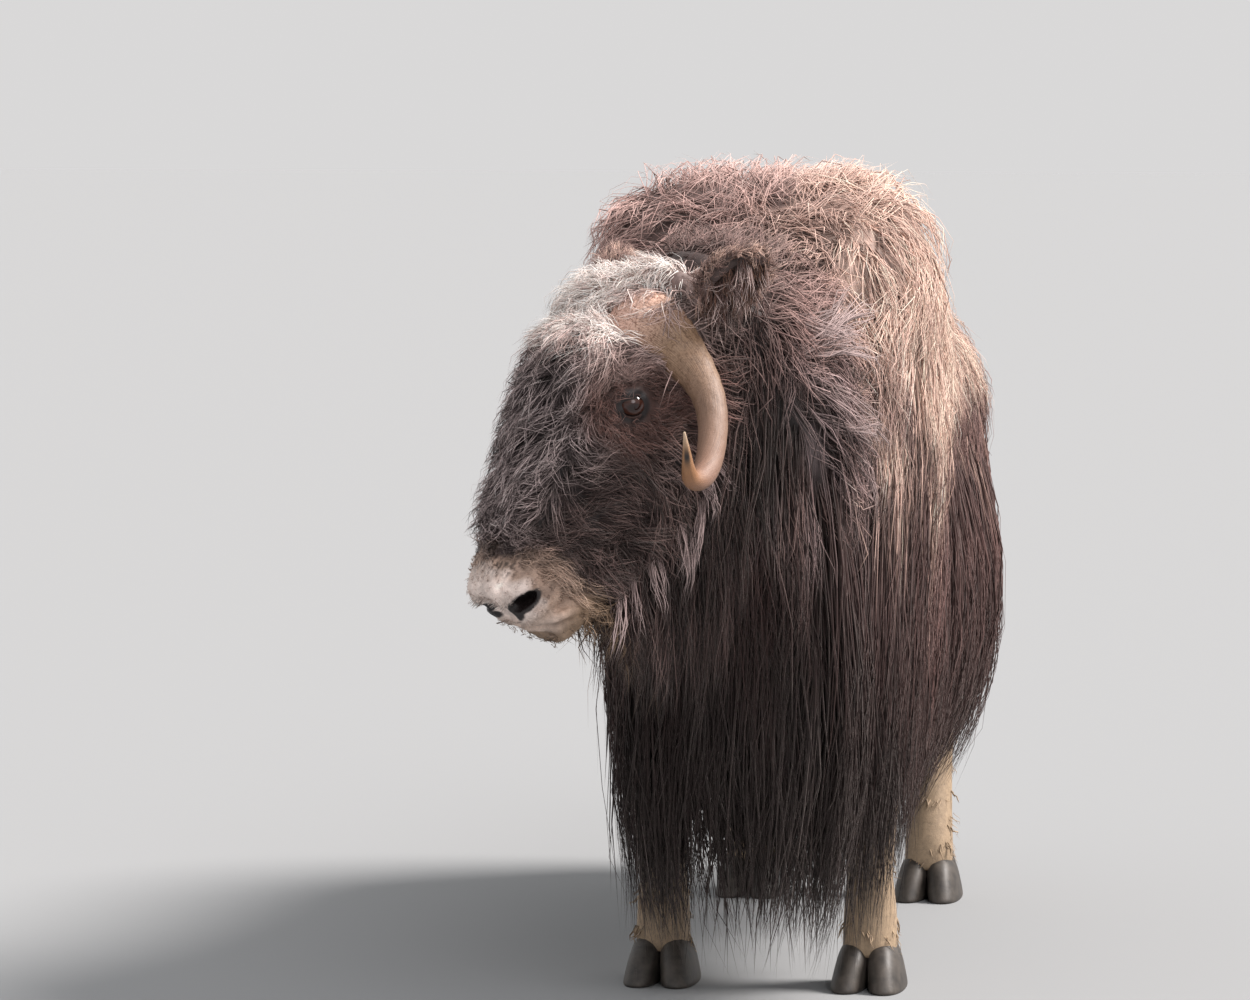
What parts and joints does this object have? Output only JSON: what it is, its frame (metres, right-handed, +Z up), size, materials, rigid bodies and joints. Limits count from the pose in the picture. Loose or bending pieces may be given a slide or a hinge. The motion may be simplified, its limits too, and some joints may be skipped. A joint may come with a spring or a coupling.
{
  "type": "muskox",
  "caption": "Life-size standing muskox with a long shaggy coat, down-curved horns and its head turned to its right and held low.",
  "frame": {"origin": "middle of the model's bounding box in plan, at the ground that its hooves stand on", "axes": "the animal faces -Y, its left side is +X, +Z is up"},
  "size_m": [0.6736, 2.0574, 1.3044],
  "materials": {
    "back_coat": "shaggy hair, sun-bleached brown",
    "dark_coat": "long hair, blackish brown",
    "face_coat": "short hair, dark brown with a pale muzzle",
    "stocking": "short hair, light tan",
    "hoof_horn": "dark worn horn",
    "horn_keratin": "ridged tan horn",
    "eye_wet": "wet dark brown"
  },
  "bodies": {
    "root": {"torso": "back_coat", "neck_mane": "dark_coat", "chest_apron_left": "dark_coat", "chest_apron_right": "dark_coat", "skirt_left": "dark_coat", "skirt_right": "dark_coat", "rump_coat_left": "dark_coat", "rump_coat_right": "dark_coat", "tail": "dark_coat", "beard": "dark_coat", "head": "face_coat", "ear_left": "face_coat", "ear_right": "face_coat", "eye_left": "eye_wet", "eye_right": "eye_wet", "horn_left": "horn_keratin", "horn_right": "horn_keratin", "foreleg_left": "stocking", "foreleg_right": "stocking", "hindleg_left": "stocking", "hindleg_right": "stocking", "foreleg_hoof_left": "hoof_horn", "foreleg_hoof_right": "hoof_horn", "hindleg_hoof_left": "hoof_horn", "hindleg_hoof_right": "hoof_horn"}
  },
  "joints": []
}
